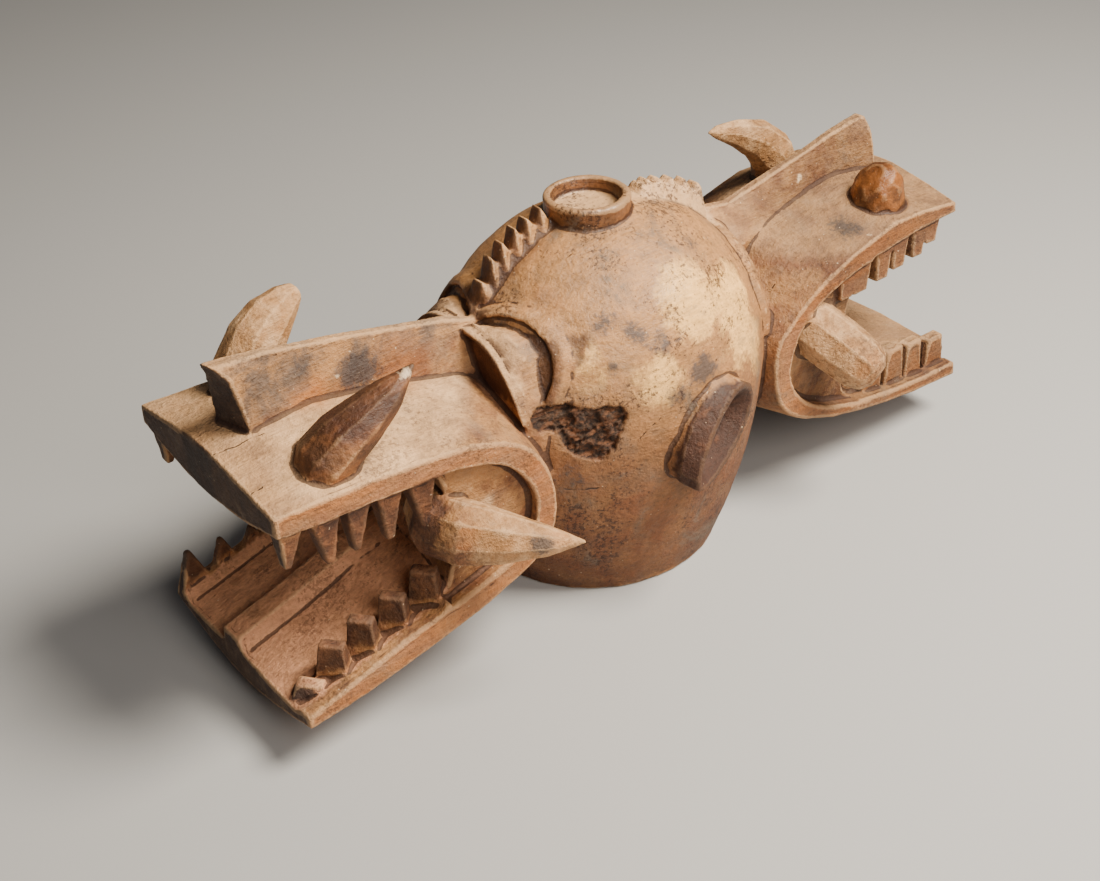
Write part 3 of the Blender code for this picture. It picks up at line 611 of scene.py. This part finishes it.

# Scales of the noises, strengths of wear, dirt and painted shade, and heights of the finest relief
# in metres.
woodLook = {
    "broad": 11.0, "patch": 19.0, "blotch": 26.0, "mid": 42.0, "streak": 70.0, "bend": 90.0,
    "rotRelief": 150.0, "fibre": 210.0, "fine": 260.0, "speck": 300.0, "white": 330.0,
    "grain": 620.0, "streakStretch": 0.16, "grainStretch": 0.06, "fibreStretch": 0.3,
    "lowHelmet": (0.10, 0.25), "farSide": (0.12, 0.20), "farDarker": 0.38, "farPale": 0.18,
    "edgeGroove": 13.0, "edgeWorn": 7.0, "formWorn": 0.05, "creaseDirtAndShade": 0.8, "wornDust": 0.38,
    "hollowDirtAndShade": 0.70, "mouthLessDarkening": 0.62, "chip": 0.8, "black": 0.85, "smear": 0.55,
    "whiteSpecks": 0.5, "rot": 0.88, "scorch": 0.55, "crack": 0.8, "crackBend": 0.006,
    "roughness": 0.72, "polish": 0.34, "specular": 0.42,
    "streakHeight": 0.0012, "grainHeight": 0.0005, "fineHeight": 0.0016, "midHeight": 0.0022,
    "crackDepth": 0.0009, "rotDepth": 0.0040, "speckDepth": 0.0001,
}


def buildWood():
    look = woodLook
    material = bpy.data.materials.new("wood")
    material.use_nodes = True
    tree = material.node_tree
    tree.nodes.clear()
    sheet = Sheet(tree)

    def mask(name):
        return sheet.node("ShaderNodeAttribute", {"attribute_name": name}, None, "Fac")

    place = sheet.node("ShaderNodeTexCoord", None, None, "Object")
    along = sheet.stretched(place, (look["streakStretch"], 1.0, 1.0))
    broad = sheet.noise(place, look["broad"], 3.0)
    mid = sheet.noise(place, look["mid"], 5.0, 0.6, 0.4)
    fine = sheet.noise(place, look["fine"], 4.0, 0.65)
    streak = sheet.noise(along, look["streak"], 4.0, 0.6)
    grain = sheet.noise(sheet.stretched(place, (look["grainStretch"], 1.0, 1.0)), look["grain"],
                        2.0, 0.6)
    blotch = sheet.noise(place, look["blotch"], 6.0, 0.68, 0.6)
    noises = {"mid": mid, "streak": streak, "blotch": blotch}

    def coated(colour, coats):
        for name, cover, noise, turn, first, second in coats:
            tone = sheet.mix(noises[noise].rise(*turn), tones[first], tones[second])
            colour = sheet.mix(mask(name) * cover, colour, tone)
        return colour

    # Bare wood: tan to brown, browner lower on the helmet and golden on its dome.
    height = sheet.node("ShaderNodeSeparateXYZ", None, {0: place}, "Z")
    onHead = mask("onHead")
    low = 1 - (height + (broad - 0.5) * 0.16 + (mid - 0.5) * 0.08).rise(*look["lowHelmet"])
    colour = sheet.mix((low * 0.85 + (mid - 0.5) * 1.3 + (broad - 0.5) * 0.8).clamped(),
                       tones["tan"], tones["brown"])
    colour = sheet.mix(((blotch - 0.46) * 5).clamped() * 0.5, colour, tones["grey"])
    headTone = sheet.mix(blotch.rise(0.35, 0.65), tones["brown"], tones["tan"])
    headTone = sheet.mix(mid.rise(0.45, 0.75) * 0.55, headTone, tones["grey"])
    colour = sheet.mix(onHead, colour, headTone)
    golden = (mask("gold") * 1.2 + (blotch - 0.5) * 2.2 + (fine - 0.5) * 0.5 - 0.1).rise(0.2, 0.8)
    colour = sheet.mix(golden * mask("gold").rise(0.0, 0.5) * 0.9, colour, tones["gold"])

    # What each part wears over it, with painted shade on faces turned from the light, then the
    # single stains.
    colour = coated(colour, headCoats)
    colour = sheet.mix((mask("snout") * (0.65 + (mid - 0.4) * 0.8)).clamped(), colour,
                       tones["dust"])
    colour = coated(colour, partCoats)
    colour = sheet.mix(mask("inside") * 0.7, colour, tones["umber"])
    colour = sheet.mix((mask("amber") * (blotch * 2 - 0.3)).clamped(), colour, tones["amber"])
    stained = (mask("stain") * 1.7 + (fine - 0.5) * 1.8 + (mid - 0.5) * 2.4).rise(0.35, 1.05)
    colour = sheet.mix(stained * mask("stain").rise(0.0, 0.3) * 0.85, colour, tones["blue"])

    # Grain, dirt and painted shade in creases and hollows, worn edges and chips.
    farSide = sheet.node("ShaderNodeSeparateXYZ", None, {0: place}, "X").rise(*look["farSide"])
    tint = 0.72 + streak * 0.50 + (grain - 0.5) * 0.55 + (fine - 0.5) * 1.0 + (mid - 0.5) * 0.8
    pale = mask("paleLimb").most(mask("curledHorn"))
    tint = tint * (1 - farSide * (look["farDarker"] - pale * look["farPale"]))
    shade = sheet.node("ShaderNodeCombineColor", None, {0: tint, 1: tint, 2: tint})
    colour = sheet.mix(1.0, colour, shade, "MULTIPLY")
    edge = mask("edge")
    groove = (edge * -look["edgeGroove"] + (fine - 0.5) * 1.6 + (mid - 0.5) * 1.4).rise(0.85, 2.2)
    worn = (edge * look["edgeWorn"] + mask("form") * look["formWorn"]
            + (fine - 0.5) * 3.0).rise(0.9, 2.2)
    closed = (mask("hollow") + (mid - 0.5) * 0.2).rise(0.30, 1.0)
    quiet = (mask("darkHorn") + mask("amberHorn") * 0.8 + mask("ear") + mask("teeth")
             + mask("shaded") + mask("decay") * 3).clamped()
    # Dirt and painted shade in concave creases.
    colour = sheet.mix(groove * look["creaseDirtAndShade"], colour, tones["dark"])
    # Dirt and painted shade in closed-in hollows, lessened in the mouth.
    colour = sheet.mix(closed * (look["hollowDirtAndShade"] - mask("mouth") * look["mouthLessDarkening"]), colour,
                       tones["dark"])
    colour = sheet.mix(worn * look["wornDust"] * (1 - quiet * 0.85), colour, tones["dust"])
    colour = sheet.mix(mask("cupFloor").most(mask("dusty")) * (0.5 + mid * 0.5), colour,
                       tones["dust"])
    chipped = (mask("chip") + (fine - 0.5) * 1.6).rise(0.45, 0.95) * mask("chip").rise(0.0, 0.3)
    colour = sheet.mix(chipped * look["chip"], colour, tones["pale"])

    # Specks, smears and the rotten patch.
    speck = sheet.noise(place, look["speck"], 5.0, 0.75)
    patch = sheet.noise(place, look["patch"], 4.0, 0.6).rise(0.44, 0.66)
    black = (speck + patch * 0.13).rise(0.60, 0.70) * (0.95 - onHead * 0.4)
    colour = sheet.mix(black * look["black"], colour, tones["dark"])
    smear = (blotch + (fine - 0.5) * 0.35).rise(0.57, 0.68)
    colour = sheet.mix(smear * (look["smear"] - onHead * 0.25) * (1 - quiet), colour,
                       tones["grey"])
    white = sheet.noise(place.vector("ADD", (3.1, 0.7, 1.9)), look["white"], 1.0)
    colour = sheet.mix(white.rise(0.76, 0.79) * look["whiteSpecks"], colour, tones["pale"])
    rotten = mask("rot")
    fibre = sheet.noise(sheet.stretched(place, (look["fibreStretch"], 1.0, 1.0)), look["fibre"],
                        4.0, 0.7)
    rotTone = sheet.mix(fibre.rise(0.42, 0.66), tones["rot"], tones["brown"])
    colour = sheet.mix((rotten * 1.2 + (fine - 0.5) * rotten).clamped() * look["rot"], colour,
                       rotTone)
    scorch = (mask("decay") + (mid - 0.5) * 0.8).rise(0.10, 0.75) * (1 - rotten)
    colour = sheet.mix(scorch * look["scorch"], colour, tones["umber"])

    # Fine cracks, as distances to bent segments.
    bend = sheet.node("ShaderNodeTexNoise", None, {"Vector": place, "Scale": look["bend"]}, 1)
    bent = place.vector("ADD", bend.vector("SUBTRACT", (0.5, 0.5, 0.5)).vector(
        "SCALE", scale=look["crackBend"]))
    crack = sheet.number(0.0)
    for start, end, width in cracks:
        line = Vector(end) - Vector(start)
        reach = bent.vector("SUBTRACT", start)
        share = (reach.vector("DOT_PRODUCT", tuple(line), output="Value")
                 / line.length_squared).clamped()
        spot = sheet.node("ShaderNodeVectorMath", {"operation": "SCALE"},
                          {0: tuple(line), "Scale": share})
        away = reach.vector("DISTANCE", spot, output="Value")
        crack = crack.most(1 - away.rise(width * 0.4, width * 1.6))
    colour = sheet.mix(crack * look["crack"], colour, tones["rot"])

    # Polish, and relief finer than the mesh.
    shell = 1 - onHead
    polish = shell * height.rise(0.10, 0.22) * (0.5 + mask("gold") * 0.5)
    polish = polish.most(mask("cup")).most(mask("amberHorn") * 0.8).most(mask("darkHorn") * 0.5)
    rough = (look["roughness"] - polish * look["polish"] + (mid - 0.5) * 0.25
             + (fine - 0.5) * 0.15 + closed * 0.15 + mask("snout") * 0.12)
    rotRelief = sheet.noise(along, look["rotRelief"], 6.0, 0.75)
    relief = ((streak - 0.5) * look["streakHeight"]
              + (grain - 0.5) * look["grainHeight"] * (1.2 - polish)
              + (fine - 0.5) * look["fineHeight"] * (1.15 - polish)
              + (mid - 0.5) * look["midHeight"] - crack * look["crackDepth"]
              - rotten * rotRelief * look["rotDepth"] - black * look["speckDepth"])
    bump = sheet.node("ShaderNodeBump", None, {"Strength": 1.0, "Distance": 1.0,
                                               "Height": relief})
    surface = sheet.node("ShaderNodeBsdfPrincipled", None,
                         {"Base Color": colour, "Roughness": rough.clamped(), "Normal": bump,
                          "Specular IOR Level": look["specular"]})
    sheet.node("ShaderNodeOutputMaterial", None, {"Surface": surface}, None)
    return material


def buildCarving(wood):
    piece = copyOfNode(carving["node"])
    mesh = remeshed(piece, carving["voxel"])
    print("remeshed", len(mesh.vertices))
    writeCutMasks(mesh)
    tree, names = buildCarvingTree()
    work = piece.modifiers.new("carving", "NODES")
    work.node_group = tree
    for name, identifier in names.items():
        work[identifier] = carvingInputs[name][1]
    for item in tree.interface.items_tree:
        if item.name == "wood":
            work[item.identifier] = wood
    thin = piece.modifiers.new("thin", "DECIMATE")
    wanted = carving["triangles"]
    thin.ratio = wanted / (2 * len(mesh.polygons))
    mesh = applied(piece)
    points = readVectors(mesh.vertices, "co")
    points[:, 2] = np.maximum(points[:, 2], 0.0)
    mesh.vertices.foreach_set("co", np.ascontiguousarray(points.ravel(), np.float32))
    mesh.polygons.foreach_set("use_smooth", [True] * len(mesh.polygons))
    mesh.update()
    print("carved", len(mesh.vertices), len(mesh.polygons), list(mesh.attributes.keys()))
    writeFinishMasks(mesh)
    print("finish masks written")
    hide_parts(carving["node"])
    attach(piece, "root")
    return piece


# Surroundings

floorLook = {"halfSize": 6.0, "drop": 0.0005, "colour": (0.42, 0.41, 0.40, 1.0), "roughness": 0.9}
airLook = {"colour": (0.80, 0.82, 0.86, 1.0), "strength": 0.08}

# Each light's direction from the mask, distance, width, power and colour.
lamps = {
    "key": ((0.33, -0.46, 0.83), 1.9, 0.9, 98.0, (1.0, 0.93, 0.81)),
    "fill": ((-0.2, -1.0, 0.70), 2.2, 1.2, 30.0, (1.0, 0.94, 0.86)),
}
lampAim = (0.0, 0.0, 0.15)

# The photograph's viewpoint: place in metres, angles in radians, focal length in pixels.
viewpoint = {"place": (-0.7158, -0.8517, 0.8284), "yaw": 0.6603, "pitch": -0.5933,
             "roll": -0.0410, "focalPixels": 1547.9, "widthPixels": 1100, "sensor": 36.0}


def buildFloor():
    work = bmesh.new()
    bmesh.ops.create_grid(work, x_segments=1, y_segments=1, size=floorLook["halfSize"])
    mesh = bpy.data.meshes.new("floor")
    work.to_mesh(mesh)
    work.free()
    floor = bpy.data.objects.new("floor", mesh)
    floor.location.z = -floorLook["drop"]
    scene.collection.objects.link(floor)
    paint = bpy.data.materials.new("floor")
    paint.use_nodes = True
    surface = paint.node_tree.nodes["Principled BSDF"]
    surface.inputs["Base Color"].default_value = floorLook["colour"]
    surface.inputs["Roughness"].default_value = floorLook["roughness"]
    mesh.materials.append(paint)


def buildLight(name, direction, distance, size, power, colour):
    lamp = bpy.data.lights.new(name, "AREA")
    lamp.shape = "DISK"
    lamp.size = size
    lamp.energy = power
    lamp.color = colour
    light = bpy.data.objects.new(name, lamp)
    way = Vector(direction).normalized()
    light.location = Vector(lampAim) + way * distance
    light.rotation_mode = "QUATERNION"
    light.rotation_quaternion = way.to_track_quat("Z", "Y")
    scene.collection.objects.link(light)


def buildCamera():
    data = bpy.data.cameras.new("camera")
    camera = bpy.data.objects.new("camera", data)
    yaw, pitch, roll = viewpoint["yaw"], viewpoint["pitch"], viewpoint["roll"]
    forward = Vector((math.sin(yaw) * math.cos(pitch), math.cos(yaw) * math.cos(pitch),
                      math.sin(pitch)))
    right = Vector((math.cos(yaw), -math.sin(yaw), 0.0))
    up = right.cross(forward)
    tiltedRight = right * math.cos(roll) + up * math.sin(roll)
    tiltedUp = up * math.cos(roll) - right * math.sin(roll)
    turn = Matrix((tiltedRight, tiltedUp, -forward)).transposed()
    camera.matrix_world = Matrix.Translation(viewpoint["place"]) @ turn.to_4x4()
    data.sensor_width = viewpoint["sensor"]
    data.lens = viewpoint["sensor"] * viewpoint["focalPixels"] / viewpoint["widthPixels"]
    data.clip_start = 0.05
    data.clip_end = 30.0
    scene.collection.objects.link(camera)
    scene.camera = camera


def buildWorld():
    world = bpy.data.worlds.new("studio")
    world.use_nodes = True
    air = world.node_tree.nodes["Background"]
    air.inputs["Color"].default_value = airLook["colour"]
    air.inputs["Strength"].default_value = airLook["strength"]
    scene.world = world


buildCamera()
buildFloor()
buildWorld()
for lampName, values in lamps.items():
    buildLight(lampName, *values)
print("studio built")
buildCarving(buildWood())
print("carving built")
